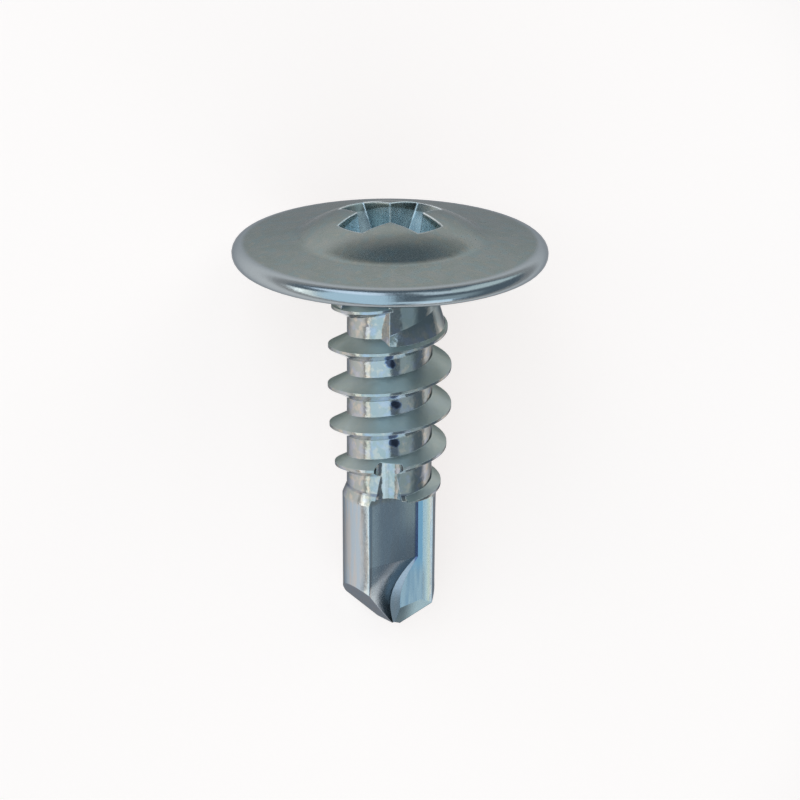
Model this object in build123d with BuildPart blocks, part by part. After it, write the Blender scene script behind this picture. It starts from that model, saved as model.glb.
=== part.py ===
"""Self-drilling wafer-head screw, 4.2 x 13 mm, lying on a flat surface as it comes to rest.

The screw is modelled upright in its own frame: the axis is Z, the bearing face under the
head is z = 0, the head is above it and the drill point is below. Depths are measured down
from the bearing face. Turns are measured about Z from the middle of one flute, X. At the
end it is laid down on its rim and on two corners of the drill point.
"""

import os
from math import asin, atan2, cos, hypot, radians, sin, tan

from build123d import *

# Head, in millimetres and degrees
flange_dia = 10.65
rim_thickness = 0.64  # the edge of the flange is a full round
flange_slope = 7.5  # fall of the flange's top towards its rim
crown_dia = 6.3
crown_flat_dia = 1.6  # flat middle of the crown, before the recess
crown_height = 1.7  # bearing face to the top of the crown
crown_hollow = 0.7  # radius between crown and flange

# Cross recess, size 2
recess_span = 4.15  # across opposite wings, at the height of the crown's top
recess_nose_dia = 2.2  # across opposite noses between the wings
recess_wing_end = 0.84  # width of a wing at its outer end
recess_depth = 2.4
recess_cone = 26.5  # slope of the wing ends from the axis
recess_floor_rise = 28.0  # slope of the recess's floor
recess_draft = 6.0
recess_turn = 22.5  # first wing, from the middle of a flute

# Threaded shank
length = 13.0  # bearing face to the blunt tip
core_dia = 2.9
neck_dia = 3.3  # unthreaded shank under the head
neck_fillet = 0.48
neck_length = 1.95  # the neck tapers to the core down to here
thread_dia = 4.2
thread_pitch = 1.4
thread_angle = 60.0
crest_width = 0.1
thread_start = 1.1  # depth where the thread rises from the neck
thread_rise = 0.4  # depth over which it rises to its first crest
first_crest_dia = 3.9
first_crest_end = 2.3  # depth where the crest starts to grow to its full size
first_crest_growth = 0.7  # depth over which it grows
thread_fall = 2.8  # depth over which it falls off towards the drill
thread_foot_dia = 3.46

# Groove stop: past this turn the groove under the head is left unformed
stop_turn = -22.5
stop_sweep = 300.0
stop_ramp = 16.0  # turn over which the groove's floor rises to the neck
stop_ramp_foot = 0.3  # the ramp's first height, as a share of its last
stop_crest_dia = 3.8
stop_neck_dia = 3.24
stop_height = 1.5  # crest to the end of the unformed neck
stop_slope_start = 0.5  # height of the slope from crest to neck, where the groove stops
stop_slope_end = 0.95  # and from stop_growth on
stop_growth = 90.0  # turn from the stop

# Drill point
drill_length = 4.7  # full-size drill body and point
drill_dia = 3.2
drill_tip_dia = 3.14  # at the corners of the point
shoulder_height = 0.38  # cone between the core and the drill body
point_angle = 118.0
flank_clearance = 42.65
tip_blunt = 0.11  # the flanks would meet this far below the tip
thread_gap = 0.145  # between the end of the thread and the drill body

# Flutes: each is a corner cut with a steep cutting wall and a long wall to the heel
flute_opening = 95.0
knee_radius = 1.21  # a crease along the cutting wall
knee_turn = 49.95
web_radius = 1.01  # the flute's corner, from the axis, along the drill body
web_turn = 49.9
web_flat = 0.04  # flat across the flute's corner, along the drill body
runout_length = 1.45  # a round channel climbs out through the last thread
runout_radius = 0.5
runout_depth = 0.45  # in the drill body, where the channel leaves the flute
runout_turn = -23.0
scoop_start = 2.45  # above the chisel edge, where the flute sinks towards the axis
scoop_length = 1.75
scoop_steps = 4
tip_web_radius = 0.21
tip_web_turn = 31.5
tip_flat = 0.22
lip_facet_turn = -46.5  # facet that leans back from each cutting lip
lip_facet_tilt = 18.0

# Construction margins
sunk = 0.15  # how far a ridge reaches into the core
past = 1.0  # how far a cutter reaches beyond what it cuts
thread_step = 90.0  # turn between sections of the thread

# Places worked out from the sizes above
flange_r = flange_dia / 2
rim_r = rim_thickness / 2
rim_path_r = flange_r - rim_r
crown_r = crown_dia / 2
crown_flat_r = crown_flat_dia / 2
core_r = core_dia / 2
neck_r = neck_dia / 2
thread_r = thread_dia / 2
drill_r = drill_dia / 2
drill_tip_r = drill_tip_dia / 2
drill_top = length - drill_length
shoulder_top = drill_top - shoulder_height
thread_foot = drill_top - thread_gap
scoop_top = length - scoop_start
flank_taper = tan(radians(thread_angle / 2))
lip_fall = tan(radians(90 - point_angle / 2))
point_depth = length + tip_blunt
lip_depth = point_depth - drill_tip_r * lip_fall
flank_fall = tan(radians(flank_clearance))


def turned(turn, radius=1.0):
    """The point at a turn about the axis and a radius from it."""
    return Vector(radius * cos(radians(turn)), radius * sin(radians(turn)))


def axial_plane(turn, depth):
    """The plane through the axis at a turn: local X is outward and local Y is up."""
    return Plane((0, 0, -depth), x_dir=turned(turn), z_dir=turned(turn - 90))


def turn_at(depth):
    """The turn at which the thread's crest passes a depth."""
    return 360 * (thread_foot - depth) / thread_pitch


def depth_at(turn):
    """The depth at which the thread's crest passes a turn."""
    return thread_foot - thread_pitch * turn / 360


# Turned blank: head, neck, core and drill body, before the thread, flutes and recess
rim_top_r = rim_path_r + rim_r * sin(radians(flange_slope))
rim_top_z = rim_r + rim_r * cos(radians(flange_slope))
crown_foot_z = rim_top_z + (rim_top_r - crown_r) * tan(radians(flange_slope))

with BuildPart() as blank:
    with BuildSketch(Plane.XZ):
        with BuildLine():
            crown_flat = Line((0, crown_height), (crown_flat_r, crown_height))
            crown = TangentArc(crown_flat @ 1, (crown_r, crown_foot_z), tangent=(1, 0))
            rim = JernArc((rim_path_r, 0), (1, 0), rim_r, 180 - flange_slope)
            Line(crown @ 1, rim @ 1)
            neck = RadiusArc((neck_r + neck_fillet, 0), (neck_r, -neck_fillet), neck_fillet)
            Line(rim @ 0, neck @ 0)
            Polyline(
                neck @ 1,
                (core_r, -neck_length),
                (core_r, -shoulder_top),
                (drill_r, -drill_top),
                (drill_tip_r, -length),
                (0, -length),
                crown_flat @ 0,
            )
        outline = make_face()
        crown_foot = outline.vertices().sort_by_distance((crown_r, 0, crown_foot_z))[0]
        fillet(crown_foot, crown_hollow)
    revolve(axis=Axis.Z)


# Thread: a ridge whose crest rises out of the neck and falls off at the drill
def crest_at(depth):
    """Radius of the thread's crest at a depth."""
    full = thread_r - core_r
    first = first_crest_dia / 2 - core_r
    rising = first * (depth - thread_start) / thread_rise
    growing = first + (full - first) * max(0, depth - first_crest_end) / first_crest_growth
    falling = (thread_dia - thread_foot_dia) / 2 * (depth - thread_foot + thread_fall) / thread_fall
    return core_r + min(rising, growing, full, full - falling)


with BuildPart() as thread:
    climb = Helix(
        thread_pitch, thread_foot - thread_start, core_r, (0, 0, -thread_foot), mode=Mode.PRIVATE
    )
    last_turn = turn_at(thread_start)
    for step in range(int(last_turn / thread_step) + 2):
        turn = min(thread_step * step, last_turn)
        crest = crest_at(depth_at(turn))
        root = core_r - sunk - (thread_r - crest)
        root_width = crest_width + 2 * (crest - root) * flank_taper
        with BuildSketch(axial_plane(turn, depth_at(turn))):
            Polygon(
                (root, -root_width / 2),
                (crest, -crest_width / 2),
                (crest, crest_width / 2),
                (root, root_width / 2),
                align=None,
            )
    sweep(path=climb, multisection=True, is_frenet=True)


# Groove stop: a slope from the first crest up to a neck of nearly full size
def stop_section(swept, share=1.0):
    """Section at a turn swept from the stop's start, at a share of its height over the core."""
    base = core_r - sunk
    crest = base + (stop_crest_dia / 2 - base) * share
    neck = base + (stop_neck_dia / 2 - base) * share
    grown = min(1, swept / stop_growth)
    slope = stop_slope_start + (stop_slope_end - stop_slope_start) * grown
    with BuildSketch(axial_plane(stop_turn + swept, depth_at(stop_start + swept))) as across:
        Polygon(
            (base, -sunk),
            (crest, 0),
            (neck, slope),
            (neck, stop_height),
            (base, stop_height),
            align=None,
        )
    return across.sketch


stop_start = stop_turn + 360 * round((turn_at(thread_start + thread_pitch) - stop_turn) / 360)
with BuildPart() as stop:
    add(stop_section(-stop_ramp, stop_ramp_foot))
    add(stop_section(0))
    loft(ruled=True)
    climb = Helix(
        thread_pitch,
        thread_pitch * stop_sweep / 360,
        core_r,
        (0, 0, -depth_at(stop_start)),
        mode=Mode.PRIVATE,
    )
    for swept in (0, stop_growth, (stop_growth + stop_sweep) / 2, stop_sweep):
        add(stop_section(swept))
    sweep(path=climb.rotate(Axis.Z, stop_turn), multisection=True, is_frenet=True)


# Flute: sections down the drill body and through the scoop at the point
def flute_section(depth, corner, flat):
    """A face across the axis, open from its flatted corner through both edges of the flute."""
    knee = turned(knee_turn, knee_radius)
    lead = turned(flute_opening / 2, drill_r)
    heel = turned(-flute_opening / 2, drill_r)
    far = 2 * thread_dia
    with BuildSketch(Plane.XY.offset(-depth)) as across:
        with BuildLine():
            Polyline(
                corner + (heel - corner).normalized() * flat,
                corner + (knee - corner).normalized() * flat,
                knee,
                knee + (lead - knee).normalized() * thread_dia,
                (far, far),
                (far, -far),
                corner + (heel - corner).normalized() * thread_dia,
                close=True,
            )
        make_face()
    return across.sketch


flute_top = (shoulder_top + drill_top) / 2
web_corner = turned(web_turn, web_radius)
tip_corner = turned(tip_web_turn, tip_web_radius)
lip_corner = turned(flute_opening / 2, drill_tip_r) - Vector(0, 0, lip_depth)
lip_facet = turned(lip_facet_turn) + Vector(0, 0, tan(radians(lip_facet_tilt)))

with BuildPart() as flute:
    add(flute_section(flute_top, web_corner, web_flat))
    add(flute_section(scoop_top, web_corner, web_flat))
    loft(ruled=True)
    for step in range(scoop_steps + 1):
        share = step / scoop_steps
        sunk_in = sin(radians(90 * share))
        corner = web_corner + (tip_corner - web_corner) * sunk_in
        flat = web_flat + (tip_flat - web_flat) * sunk_in
        add(flute_section(scoop_top + scoop_length * share, corner, flat))
    add(flute_section(length + past, tip_corner, tip_flat))
    loft()
    split(bisect_by=Plane(lip_corner, z_dir=lip_facet), keep=Keep.TOP)

# Run-out: a round channel climbs from the top of the flute until it leaves the core
with BuildPart() as runout:
    for depth, floor_r in ((flute_top, drill_r - runout_depth), (flute_top - runout_length, core_r)):
        with BuildSketch(Plane.XY.offset(-depth)):
            with Locations(turned(runout_turn, floor_r + runout_radius)):
                Circle(runout_radius)
    loft()

# Cross recess: four tapered wings inside a cone, with a conical floor
wing_r = recess_span / 2
nose_half = recess_nose_dia / 2 * cos(radians(45))
wing_slope = tan(radians(recess_cone))
floor_slope = tan(radians(recess_floor_rise))
floor_r = (wing_r - recess_depth * wing_slope) / (1 - floor_slope * wing_slope)

with BuildPart() as recess:
    with BuildSketch(Plane.XZ):
        Polygon(
            (0, crown_height + past),
            (wing_r + past * wing_slope, crown_height + past),
            (floor_r, crown_height - (wing_r - floor_r) / wing_slope),
            (0, crown_height - recess_depth),
            align=None,
        )
    revolve(axis=Axis.Z)
    with BuildSketch(Plane.XY.offset(crown_height)):
        with PolarLocations(0, 4, start_angle=recess_turn):
            Polygon(
                (0, 0),
                (nose_half, -nose_half),
                (wing_r + past, -recess_wing_end / 2),
                (wing_r + past, recess_wing_end / 2),
                (nose_half, nose_half),
                align=None,
            )
    extrude(amount=recess_depth + past, dir=(0, 0, -1), taper=recess_draft, mode=Mode.INTERSECT)

with BuildPart() as upright:
    with Locations((0, 0, -drill_top / 2)):
        Cylinder(core_r, drill_top)
    add(thread.part)
    add(stop.part)
    add(blank.part)
    with PolarLocations(0, 2):
        add(flute.part, mode=Mode.SUBTRACT)
        add(runout.part, mode=Mode.SUBTRACT)
    add(recess.part, mode=Mode.SUBTRACT)
    for turn in (0, 180):
        lip = turned(flute_opening / 2 + turn)
        behind = turned(flute_opening / 2 + turn + 90)
        flank = lip * lip_fall + behind * flank_fall - Vector(0, 0, 1)
        split(bisect_by=Plane((0, 0, -point_depth), z_dir=flank), keep=Keep.BOTTOM)

# Rest: the rim and both corners of the lower flute touch the surface, which is z = 0
corner_turn = radians(flute_opening / 2)
heel_turn = radians(180 - flute_opening)
heel_depth = point_depth - drill_tip_r * (lip_fall * cos(heel_turn) + flank_fall * sin(heel_turn))
run = (lip_depth + heel_depth) / 2 + rim_r
rise = rim_path_r - drill_tip_r * cos(corner_turn)
lean = atan2(rise, run) + asin(rim_r / hypot(run, rise))
roll = asin((lip_depth - heel_depth) * tan(lean) / (2 * drill_tip_r * sin(corner_turn)))

head_end = rim_r * cos(lean) + rim_path_r * sin(lean) + rim_r
face_y = (length * cos(lean) - head_end) / 2
face_z = rim_path_r * cos(lean) + rim_r * (1 - sin(lean))
rest = Plane(
    (0, face_y, face_z),
    x_dir=(sin(roll), -sin(lean) * cos(roll), cos(lean) * cos(roll)),
    z_dir=(0, cos(lean), sin(lean)),
)

with BuildPart(rest) as screw:
    add(upright.part)

os.makedirs("parts", exist_ok=True)
screw.part.label = "screw"
export_step(screw.part, "parts/screw.step")
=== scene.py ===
"""Looks of the self-drilling screw: camera, floor, studio light and the zinc plating."""

from math import cos, radians, sin

import bpy
from mathutils import Matrix, Vector

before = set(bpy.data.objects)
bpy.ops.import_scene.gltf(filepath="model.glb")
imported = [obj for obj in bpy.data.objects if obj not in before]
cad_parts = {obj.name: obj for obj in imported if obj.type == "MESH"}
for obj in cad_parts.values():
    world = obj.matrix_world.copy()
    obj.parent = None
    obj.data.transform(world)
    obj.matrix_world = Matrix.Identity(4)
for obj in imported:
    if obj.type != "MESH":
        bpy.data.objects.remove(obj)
bpy.context.view_layer.update()
scene = bpy.context.scene

# The screw's own frame, as part.py lays it down: the origin is the middle of the bearing face,
# AXIS points from the drill to the head and FLUTE to the middle of the upper flute
LEAN = radians(19.351056)
ROLL = radians(5.044156)
FACE = Vector((0, 0.00499261, 0.00493621))
AXIS = Vector((0, cos(LEAN), sin(LEAN)))
FLUTE = Vector((sin(ROLL), -sin(LEAN) * cos(ROLL), cos(LEAN) * cos(ROLL)))
SIDE = AXIS.cross(FLUTE)
MM = 1000.0  # millimetres in a metre

# Camera: it looks down on the lying screw. Angles are in degrees and lengths in metres
VIEW_TURN = -22.5  # about the axis, from the middle of the upper flute
VIEW_RISE = 17.746  # above the plane across the axis
VIEW_TILT = 0.23  # of the picture, about the line of sight
DISTANCE = 0.150  # to the middle of the bearing face
PIXELS_PER_METRE = 29760  # at that distance
IMAGE = 800  # width and height of the picture, in pixels
FACE_PIXEL = (390.0, 260.6)  # where the middle of the bearing face falls in it
SENSOR = 36.0  # width in mm
CLIP = (0.001, 10.0)


def outward(turn):
    """The direction square to the axis at a turn from the middle of the upper flute."""
    return FLUTE * cos(radians(turn)) + SIDE * sin(radians(turn))


# As the camera sees it, with the head up
RIGHT = outward(VIEW_TURN + 90)
BEHIND = outward(VIEW_TURN + 180)

# The ends of a ramp: what it gives before it starts and past its end
OVER = (0.0, 1.0)
UNDER = (1.0, 0.0)

BLACK = (0.0, 0.0, 0.0)


class Tree:
    """Adds nodes to a node tree; an input that isn't a socket is set as its value."""

    def __init__(self, owner):
        owner.use_nodes = True
        self.nodes = owner.node_tree.nodes
        self.links = owner.node_tree.links
        self.nodes.clear()

    def put(self, socket, value):
        if isinstance(value, bpy.types.NodeSocket):
            self.links.new(value, socket)
        else:
            socket.default_value = value

    def node(self, kind, inputs, **settings):
        made = self.nodes.new(kind)
        for name, value in settings.items():
            setattr(made, name, value)
        for name, value in inputs.items():
            self.put(made.inputs[name], value)
        return made

    def source(self, kind, name):
        """An output of a node that needs no input."""
        return self.node(kind, {}).outputs[name]

    def math(self, operation, *values):
        made = self.node("ShaderNodeMath", dict(enumerate(values)), operation=operation)
        return made.outputs[0]

    def product(self, *values):
        total = values[0]
        for value in values[1:]:
            total = self.math("MULTIPLY", total, value)
        return total

    def squares(self, x, y):
        """The sum of the squares of two values."""
        return self.math("ADD", self.math("POWER", x, 2.0), self.math("POWER", y, 2.0))

    def dot(self, a, b):
        made = self.node("ShaderNodeVectorMath", {0: a, 1: b}, operation="DOT_PRODUCT")
        return made.outputs["Value"]

    def mapped(self, vector, **moves):
        return self.node("ShaderNodeMapping", {"Vector": vector, **moves}).outputs[0]

    def ramp(self, value, low, high, ends):
        """Goes smoothly from the first of the ends at low to the second at high."""
        limits = {"From Min": low, "From Max": high, "To Min": ends[0], "To Max": ends[1]}
        made = self.node(
            "ShaderNodeMapRange", {"Value": value, **limits}, interpolation_type="SMOOTHSTEP"
        )
        return made.outputs[0]

    def window(self, value, low, high, soft_low, soft_high):
        """1 between low and high, falling to 0 over the soft widths outside them."""
        rise = self.ramp(value, low - soft_low, low, OVER)
        fall = self.ramp(value, high, high + soft_high, UNDER)
        return self.math("MULTIPLY", rise, fall)

    def mix(self, factor, a, b, blend="MIX"):
        # sockets 6 and 7 are the colours A and B, and output 2 is their mix
        colours = [(*c, 1.0) if isinstance(c, tuple) else c for c in (a, b)]
        made = self.node("ShaderNodeMix", {}, data_type="RGBA", blend_type=blend)
        self.put(made.inputs["Factor"], factor)
        self.put(made.inputs[6], colours[0])
        self.put(made.inputs[7], colours[1])
        return made.outputs[2]

    def noise(self, vector, scale, detail, rough):
        settings = {"Scale": scale, "Detail": detail, "Roughness": rough}
        return self.node("ShaderNodeTexNoise", {"Vector": vector, **settings}).outputs["Fac"]

    def close(self, kind, surface):
        """Puts the surface into the output node of a material or a world."""
        self.node(kind, {"Surface": surface})


def place_camera():
    rise = radians(VIEW_RISE)
    tilt = radians(VIEW_TILT)
    toward = -BEHIND * cos(rise) + AXIS * sin(rise)
    up = toward.cross(RIGHT)
    across = RIGHT * cos(tilt) + up * sin(tilt)
    above = up * cos(tilt) - RIGHT * sin(tilt)
    place = FACE + toward * DISTANCE
    aim = (
        FACE
        + across * ((IMAGE / 2 - FACE_PIXEL[0]) / PIXELS_PER_METRE)
        - above * ((IMAGE / 2 - FACE_PIXEL[1]) / PIXELS_PER_METRE)
    )
    back = (place - aim).normalized()
    right = above.cross(back).normalized()
    lens = bpy.data.cameras.new("camera")
    lens.sensor_width = SENSOR
    lens.lens = PIXELS_PER_METRE * DISTANCE / IMAGE * SENSOR
    lens.clip_start, lens.clip_end = CLIP
    camera = bpy.data.objects.new("camera", lens)
    scene.collection.objects.link(camera)
    stand = Matrix((right, back.cross(right), back)).transposed().to_4x4()
    stand.translation = place
    camera.matrix_world = stand
    scene.camera = camera


# Floor
FLOOR_HALF = 1.0  # half its width, in metres
FLOOR_COLOUR = (0.51, 0.44, 0.40)
FLOOR_ROUGHNESS = 0.5
FLOOR_GLOW = (0.72, 0.69, 0.68)  # what the camera and the metal see without the light
# The floor is painted brighter near the screw and darker farther out, a painted pool of light: its
# colour and glow fade between these radii
FLOOR_PALE = 0.018  # radius of the white part, in metres
FLOOR_FAR = 0.045  # radius at which it has faded
FLOOR_SHARES = (1.0, 0.45)  # of colour and glow, on the white part and past FLOOR_FAR
SEEING_RAYS = ("Is Camera Ray", "Is Glossy Ray", "Is Transmission Ray")


def lay_floor():
    mesh = bpy.data.meshes.new("floor")
    sides = (-1, -1), (1, -1), (1, 1), (-1, 1)
    corners = [(x * FLOOR_HALF, y * FLOOR_HALF, 0) for x, y in sides]
    mesh.from_pydata(corners, [], [(0, 1, 2, 3)])
    floor = bpy.data.objects.new("floor", mesh)
    scene.collection.objects.link(floor)
    material = bpy.data.materials.new("pale_floor")
    tree = Tree(material)
    place = tree.source("ShaderNodeTexCoord", "Object")
    away = tree.node("ShaderNodeVectorMath", {0: place}, operation="LENGTH").outputs["Value"]
    # painted pool of light: colour and glow fade away from the screw
    fade = tree.ramp(away, FLOOR_PALE, FLOOR_FAR, FLOOR_SHARES)
    rays = tree.node("ShaderNodeLightPath", {})
    seen = 0.0
    for ray in SEEING_RAYS:
        seen = tree.math("MAXIMUM", seen, rays.outputs[ray])
    colour = tree.mix(fade, BLACK, FLOOR_COLOUR)
    matt = tree.node("ShaderNodeBsdfDiffuse", {"Color": colour, "Roughness": FLOOR_ROUGHNESS})
    strength = tree.math("MULTIPLY", seen, fade)
    glow = tree.node("ShaderNodeEmission", {"Color": (*FLOOR_GLOW, 1.0), "Strength": strength})
    both = tree.node("ShaderNodeAddShader", {0: matt.outputs[0], 1: glow.outputs[0]})
    tree.close("ShaderNodeOutputMaterial", both.outputs[0])
    mesh.materials.append(material)


# Studio: soft panels in a dim room. A panel has its turns, its rises and its colour, and turns and
# rises have two limits and the widths over which the panel fades outside them. Turns are in degrees
# about the screw's axis: 0 is to the right of the picture, -90 towards the camera and -180 to the
# left. Rises are in degrees above the plane across the axis
PANELS = (
    ((-170, -158, 8, 4), (-74, 18, 14, 8), (1.22, 1.25, 1.24)),
    ((-158, -146, 4, 3), (-74, 18, 14, 8), (1.32, 1.31, 1.18)),
    ((-141, -89, 4, 3), (-74, 44, 10, 6), (0.66, 0.88, 1.01)),
    ((-165, -97, 8, 6), (50, 75, 6, 5), (1.12, 1.27, 1.45)),
    ((-84, -60, 4, 6), (-50, -33, 6, 5), (0.76, 0.92, 1.03)),
    ((-60, -36, 8, 22), (-28, 0, 6, 8), (0.28, 0.34, 0.35)),
    ((-56, -36, 4, 6), (-50, -34, 6, 5), (0.92, 1.14, 1.30)),
    ((-60, -20, 8, 8), (-72, -56, 6, 6), (1.14, 1.18, 1.22)),
    ((-58, -36, 6, 3), (36, 74, 6, 5), (0.76, 0.85, 0.90)),
    ((-33, 24, 3, 8), (30, 56, 6, 6), (0.68, 0.77, 0.75)),
)
ROOM = (0.155, 0.200, 0.240)
SEAM = 90.0  # turns run a whole turn down from here, so that no panel crosses the seam


def light_studio():
    world = bpy.data.worlds.new("studio")
    scene.world = world
    tree = Tree(world)
    way = tree.source("ShaderNodeTexCoord", "Generated")
    turn = tree.math("ARCTAN2", tree.dot(way, BEHIND), tree.dot(way, RIGHT))
    turn = tree.math("DEGREES", turn)
    past = tree.math("GREATER_THAN", turn, SEAM)
    turn = tree.math("SUBTRACT", turn, tree.math("MULTIPLY", past, 360.0))
    rise = tree.math("DEGREES", tree.math("ARCSINE", tree.dot(way, AXIS)))
    light = ROOM
    for turns, rises, colour in PANELS:
        share = tree.math("MULTIPLY", tree.window(turn, *turns), tree.window(rise, *rises))
        light = tree.mix(1.0, light, tree.mix(share, BLACK, colour), "ADD")
    back = tree.node("ShaderNodeBackground", {"Color": light, "Strength": 1.0})
    tree.close("ShaderNodeOutputWorld", back.outputs[0])


# Zinc plating. Its patterns are noises: scale per mm, detail, roughness, and how each is moved
# or stretched
PATTERNS = {
    "mottle": (1.6, 3.0, 0.5, {}),
    "tint": (4.0, 3.0, 0.5, {}),
    "stain": (2.6, 2.0, 0.5, {"Location": (7.3, 2.1, 4.7)}),
    "streak": (1.6, 3.0, 0.5, {"Scale": (4.0, 4.0, 0.35)}),
    "lumps": (3.0, 2.0, 0.5, {}),
    "grain": (14.0, 4.0, 0.6, {}),
}

CROWN_FALL = 0.13  # the crown's top falls by about this times the square of the radius, in mm
SHOULDER = -7.92  # height of the corner between the core and the drill's shoulder, in mm
CREASE = (0.651, 0.773)  # out and across to where the flute's floor meets its cutting wall, in mm

# Regions of the plating: the region that each is part of, and its soft borders. A border has what
# is measured, the values between which it fades, and the shares before and past it. Lengths are
# in mm, turns in degrees, parts of the surface's normal run from -1 to 1 and patterns from 0 to 1
REGIONS = {
    "head": (None, [("height", -0.10, 0.05, OVER)]),
    "rim": ("head", [("radius", 4.85, 5.05, OVER)]),
    "recess": (
        None,
        [
            ("domed_height", 1.66, 1.72, UNDER),
            ("radius", 2.3, 2.4, UNDER),
            ("height", -0.9, -0.8, OVER),
            ("facing", 0.5, 0.8, (0.85, 0.3)),
        ],
    ),
    "mouth": (None, [("radius", 2.5, 2.7, UNDER), ("height", 0.9, 1.1, OVER)]),
    # the neck beside the head, where a painted shade goes
    "neck": (
        None,
        [
            ("height", -2.3, -1.7, OVER),
            ("turn", -14.0, -6.0, OVER),
            ("turn", 90.0, 170.0, UNDER),
        ],
    ),
    "flank": (None, [("facing", 0.45, 0.6, OVER), ("height", -0.3, -0.1, UNDER)]),
    "underside": (
        None,
        [
            ("facing", -0.5, -0.3, UNDER),
            ("height", -0.3, -0.1, UNDER),
            ("height", -8.2, -8.0, OVER),
        ],
    ),
    "shoulder": (
        None,
        [
            ("height", SHOULDER - 0.09, SHOULDER - 0.02, OVER),
            ("height", SHOULDER + 0.03, SHOULDER + 0.08, UNDER),
            ("radius", 1.32, 1.40, OVER),
            ("mottle", 0.3, 0.7, (0.3, 0.8)),
        ],
    ),
    "drill": (None, [("height", -8.4, -8.2, UNDER)]),
    "flute": ("drill", [("radius", 1.47, 1.50, UNDER), ("facing", -0.55, -0.45, OVER)]),
    "flute_past_heel": (None, [("across", -1.0, -0.6, OVER)]),
    "flute_low": (None, [("height", -10.9, -8.9, UNDER), ("across", -0.7, 0.1, OVER)]),
    "flute_high": (None, [("height", -9.9, -8.8, OVER), ("across", -0.2, 0.7, OVER)]),
    "crease": ("flute", [("from_crease", 0.03, 0.13, UNDER)]),
    "wall": ("flute", [("sideways", -0.5, -0.3, UNDER)]),
    "wall_outside": (None, [("radius", 1.19, 1.24, OVER)]),
    "wall_edge": (None, [("radius", 1.30, 1.48, OVER)]),
    "scoop": ("wall", [("height", -11.3, -10.5, UNDER), ("radius", 1.2, 1.4, UNDER)]),
    "tip": (None, [("height", -12.2, -12.0, UNDER), ("facing", 0.10, 0.16, OVER)]),
    "tip_outside": (None, [("radius", 0.5, 1.1, OVER)]),
    "pale_mottle": (None, [("mottle", 0.35, 0.65, OVER)]),
    "cream": (None, [("tint", 0.48, 0.66, OVER)]),
    "violet": (None, [("stain", 0.50, 0.64, OVER)]),
    "land_streak": (None, [("streak", 0.38, 0.62, OVER)]),
    "scoop_streak": (None, [("streak", 0.35, 0.65, OVER)]),
    "head_stain": (None, [("stain", 0.48, 0.64, OVER)]),
    "head_warmth": (None, [("tint", 0.52, 0.70, OVER)]),
}

# Dark marks, one in a groove: turn in degrees and depth under the head in mm
DARK_MARKS = ((-21.5, 3.17), (-13.6, 4.64), (-15.7, 6.00))
MARK_TURN = 7.0  # half the width of a mark, in degrees
MARK_HEIGHT = 0.14  # half its height, in mm
MARK_FADE = (0.3, 1.7)  # squares of the distance from its middle between which it fades
MARK_UNEVEN = 2.4  # how much the tint pattern adds to that square
MARK_RING = (0.05, 0.45)  # shares of the mark between which its blue ring starts
MARK_CORE = (0.40, 0.85)  # and its dark middle

# Paints, in linear RGB: a first colour, and those laid over it, each with its region and its
# share there. A colour that is laid over can be a paint itself
SHANK = (
    (0.42, 0.455, 0.435),
    ("pale_mottle", 1.0, (0.46, 0.47, 0.46)),
    ("cream", 0.7, (0.64, 0.57, 0.49)),
    ("violet", 0.6, (0.46, 0.50, 0.60)),
)
LAND = (
    (0.45, 0.53, 0.60),
    ("land_streak", 1.0, (0.53, 0.53, 0.53)),
)
# The flute's floor, painted darker low down and lighter high up: a painted reflection
FLUTE_FLOOR = (
    (0.66, 0.73, 0.76),
    ("flute_past_heel", 1.0, (0.42, 0.48, 0.54)),
    ("flute_low", 0.72, (0.22, 0.25, 0.29)),
    ("flute_high", 1.0, (0.74, 0.79, 0.76)),
)
# The scoop is painted darker than the wall around it: a painted dark reflection
SCOOP = (
    (0.24, 0.31, 0.36),
    ("scoop_streak", 1.0, (0.33, 0.385, 0.41)),
)
# The cutting wall, painted dark blue inside, lighter outward and lightest along its outer edge: a
# painted reflection, with a painted highlight along that edge
WALL = (
    (0.20, 0.33, 0.42),
    ("wall_outside", 1.0, (0.38, 0.49, 0.55)),
    ("wall_edge", 1.0, (0.51, 0.54, 0.47)),
    ("scoop", 1.0, SCOOP),
)
TIP = (
    (0.15, 0.16, 0.16),
    ("tip_outside", 1.0, (0.40, 0.43, 0.42)),
)
# The head's plating is painted darker than the shank's, painted shade for the darker reflections it
# shows, and its rim lighter and bluer, a painted highlight
HEAD = (
    (0.295, 0.335, 0.32),
    ("pale_mottle", 1.0, (0.32, 0.352, 0.342)),
    ("head_stain", 0.7, (0.285, 0.355, 0.36)),
    ("head_warmth", 0.5, (0.37, 0.375, 0.335)),
    ("rim", 1.0, (0.41, 0.455, 0.48)),
)
PLATING = (
    SHANK,
    ("drill", 1.0, LAND),
    ("flute", 0.8, FLUTE_FLOOR),
    ("wall", 1.0, WALL),
    # painted shade: a dark line where the flute's floor meets its cutting wall
    ("crease", 0.85, (0.08, 0.13, 0.30)),
    # a dark line painted in the concave corner at the top of the drill's shoulder: painted shade
    ("shoulder", 1.0, (0.12, 0.14, 0.22)),
    ("tip", 1.0, TIP),
    ("flank", 0.8, (0.50, 0.575, 0.555)),
    # the undersides of the threads are painted lighter, with a bright grazing tint below: painted
    # light that lifts their shade
    ("underside", 0.6, (0.66, 0.70, 0.74)),
    # painted shade on the neck, in the head's shadow
    ("neck", 0.8, (0.27, 0.32, 0.33)),
    ("head", 1.0, HEAD),
    # the recess is painted much lighter than the head: painted light standing in for the
    # reflections inside it
    ("recess", 1.0, (0.68, 0.79, 0.83)),
    ("mark_ring", 0.75, (0.19, 0.27, 0.44)),
    ("mark_core", 1.0, (0.08, 0.095, 0.14)),
    # painted highlight on the rounded edges of the recess's mouth
    ("mouth_highlight", 1.0, (0.85, 0.92, 0.95)),
)
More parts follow.
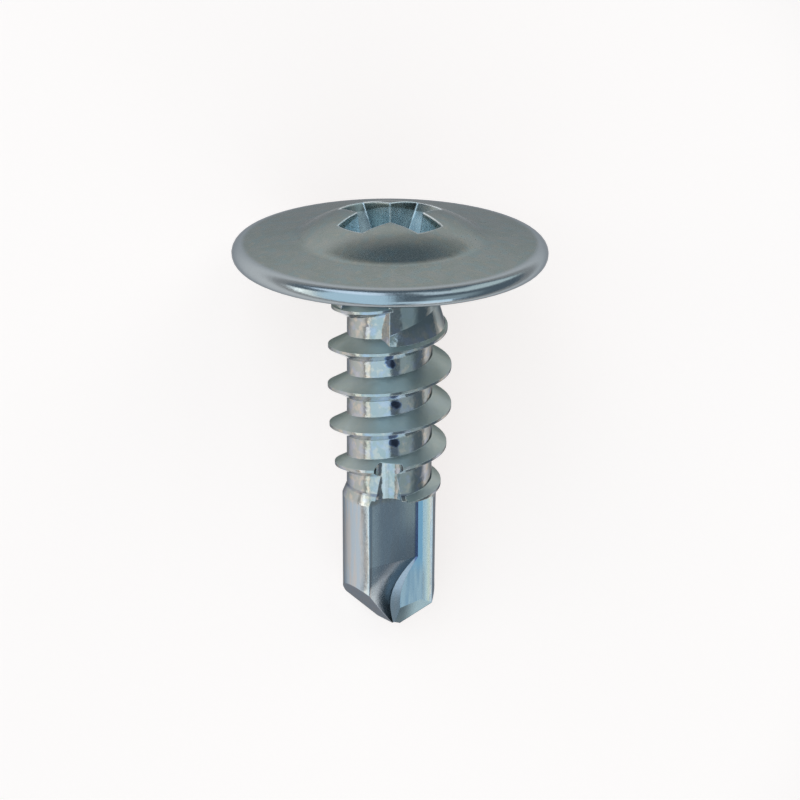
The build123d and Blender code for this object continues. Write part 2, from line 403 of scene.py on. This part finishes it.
# Tint of the reflections at grazing angles
GRAZING = (
    (0.25, 0.27, 0.30),
    ("head", 1.0, (0.4, 0.42, 0.45)),
    ("flank", 1.0, (0.06, 0.08, 0.08)),
    # painted light that lifts the shade under the threads
    ("underside", 1.0, (0.95, 0.97, 1.0)),
)

# Gloss, edges and the small unevenness of the surface. Of two strengths or radii, the first is
# the plain one, and lengths are in metres
ROUGHNESS = (0.11, 0.18)
ROUGHNESS_GRAIN = (0.3, 0.7)  # values of the grain between which the roughness grows
ROUGHER = (("head", 0.12), ("rim", -0.06), ("flank", 0.26), ("flute", 0.10))
EDGE_RADIUS = (0.00003, 0.0001)  # the second is at the mouth of the recess
EDGE_SAMPLES = 8
MOUTH_HIGHLIGHT_BEND = (0.90, 0.99)  # cosines of the angle between the face and its rounded edge, over which the painted highlight on the recess's mouth fades in
LUMP_STRENGTH = (0.3, 0.08)  # the second is on the head and the drill
LUMP_HEIGHT = 0.00004
GRAIN_STRENGTH = (0.2, 0.06)  # the second is on the head and the flanks
GRAIN_HEIGHT = 0.000004


def measure(tree, normal):
    """What the borders of the regions go by, with the patterns, at each place of the screw."""
    turned = Matrix((FLUTE, SIDE, AXIS))
    place = tree.mapped(
        tree.source("ShaderNodeTexCoord", "Object"),
        Location=-(turned @ FACE) * MM,
        Rotation=turned.to_euler(),
        Scale=(MM, MM, MM),
    )
    split = tree.node("ShaderNodeSeparateXYZ", {"Vector": place})
    x, y, height = (split.outputs[name] for name in "XYZ")
    half = tree.math("SIGN", x)  # the two flutes are alike under a half turn
    across = tree.math("MULTIPLY", y, half)
    radius = tree.math("SQRT", tree.squares(x, y))
    crown = tree.math("MULTIPLY", tree.math("POWER", radius, 2.0), CROWN_FALL)
    out = tree.math("SUBTRACT", tree.math("ABSOLUTE", x), CREASE[0])
    aside = tree.math("SUBTRACT", across, CREASE[1])
    at = {
        "height": height,
        "domed_height": tree.math("ADD", height, crown),
        "radius": radius,
        "turn": tree.math("DEGREES", tree.math("ARCTAN2", y, x)),
        "across": across,
        "from_crease": tree.math("SQRT", tree.squares(out, aside)),
        "facing": tree.dot(normal, AXIS),
        "sideways": tree.math("MULTIPLY", tree.dot(normal, SIDE), half),
    }
    for name, (scale, detail, rough, moves) in PATTERNS.items():
        at[name] = tree.noise(tree.mapped(place, **moves), scale, detail, rough)
    return at


def find_regions(tree, at):
    """The share of each region at each place."""
    found = {}
    for name, (parent, borders) in REGIONS.items():
        ramps = [tree.ramp(at[measured], low, high, ends) for measured, low, high, ends in borders]
        if parent:
            ramps.insert(0, found[parent])
        found[name] = tree.product(*ramps)
    # the crease's dark line, a painted shade, stays on the side of the flute's floor
    found["crease"] = tree.product(found["crease"], tree.math("SUBTRACT", 1.0, found["wall"]))
    return found


def find_marks(tree, at):
    """The share of the dark marks at each place."""
    uneven = tree.math("MULTIPLY", tree.math("SUBTRACT", at["tint"], 0.5), MARK_UNEVEN)
    marks = 0.0
    for turn, depth in DARK_MARKS:
        over = tree.math("DIVIDE", tree.math("SUBTRACT", at["turn"], turn), MARK_TURN)
        along = tree.math("DIVIDE", tree.math("ADD", at["height"], depth), MARK_HEIGHT)
        off = tree.math("ADD", tree.squares(over, along), uneven)
        marks = tree.math("MAXIMUM", marks, tree.ramp(off, *MARK_FADE, UNDER))
    return marks


def lay_paint(tree, paint, regions):
    """The colour that a plain colour or a paint has at each place."""
    first, *layers = paint
    if isinstance(first, float):
        return paint
    colour = lay_paint(tree, first, regions)
    for region, share, over in layers:
        laid = lay_paint(tree, over, regions)
        colour = tree.mix(tree.product(regions[region], share), colour, laid)
    return colour


def plate(screw):
    material = bpy.data.materials.new("zinc_plating")
    tree = Tree(material)
    normal = tree.source("ShaderNodeNewGeometry", "Normal")
    at = measure(tree, normal)
    regions = find_regions(tree, at)
    marks = find_marks(tree, at)
    regions["mark_ring"] = tree.ramp(marks, *MARK_RING, OVER)
    regions["mark_core"] = tree.ramp(marks, *MARK_CORE, OVER)
    radius = tree.ramp(regions["mouth"], 0.0, 1.0, EDGE_RADIUS)
    rounded = tree.node("ShaderNodeBevel", {"Radius": radius}, samples=EDGE_SAMPLES).outputs[0]
    # the painted highlight lies where the rounded edge bends away from the face
    bend = tree.ramp(tree.dot(rounded, normal), *MOUTH_HIGHLIGHT_BEND, UNDER)
    regions["mouth_highlight"] = tree.product(regions["mouth"], bend)

    rough = tree.ramp(at["grain"], *ROUGHNESS_GRAIN, ROUGHNESS)
    for region, amount in ROUGHER:
        rough = tree.math("ADD", rough, tree.math("MULTIPLY", regions[region], amount))
    for pattern, smoother, strengths, height in (
        ("lumps", "drill", LUMP_STRENGTH, LUMP_HEIGHT),
        ("grain", "flank", GRAIN_STRENGTH, GRAIN_HEIGHT),
    ):
        smooth = tree.math("MAXIMUM", regions["head"], regions[smoother])
        settings = {"Strength": tree.ramp(smooth, 0.0, 1.0, strengths), "Distance": height}
        bump = tree.node("ShaderNodeBump", {"Height": at[pattern], "Normal": rounded, **settings})
        rounded = bump.outputs[0]
    metal = tree.node(
        "ShaderNodeBsdfPrincipled",
        {
            "Base Color": lay_paint(tree, PLATING, regions),
            "Metallic": 1.0,
            "Roughness": rough,
            "Specular Tint": lay_paint(tree, GRAZING, regions),
            "Normal": rounded,
        },
    )
    tree.close("ShaderNodeOutputMaterial", metal.outputs[0])
    screw.data.materials.clear()
    screw.data.materials.append(material)


place_camera()
lay_floor()
light_studio()
plate(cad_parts["screw"])
scene.view_settings.view_transform = "Standard"
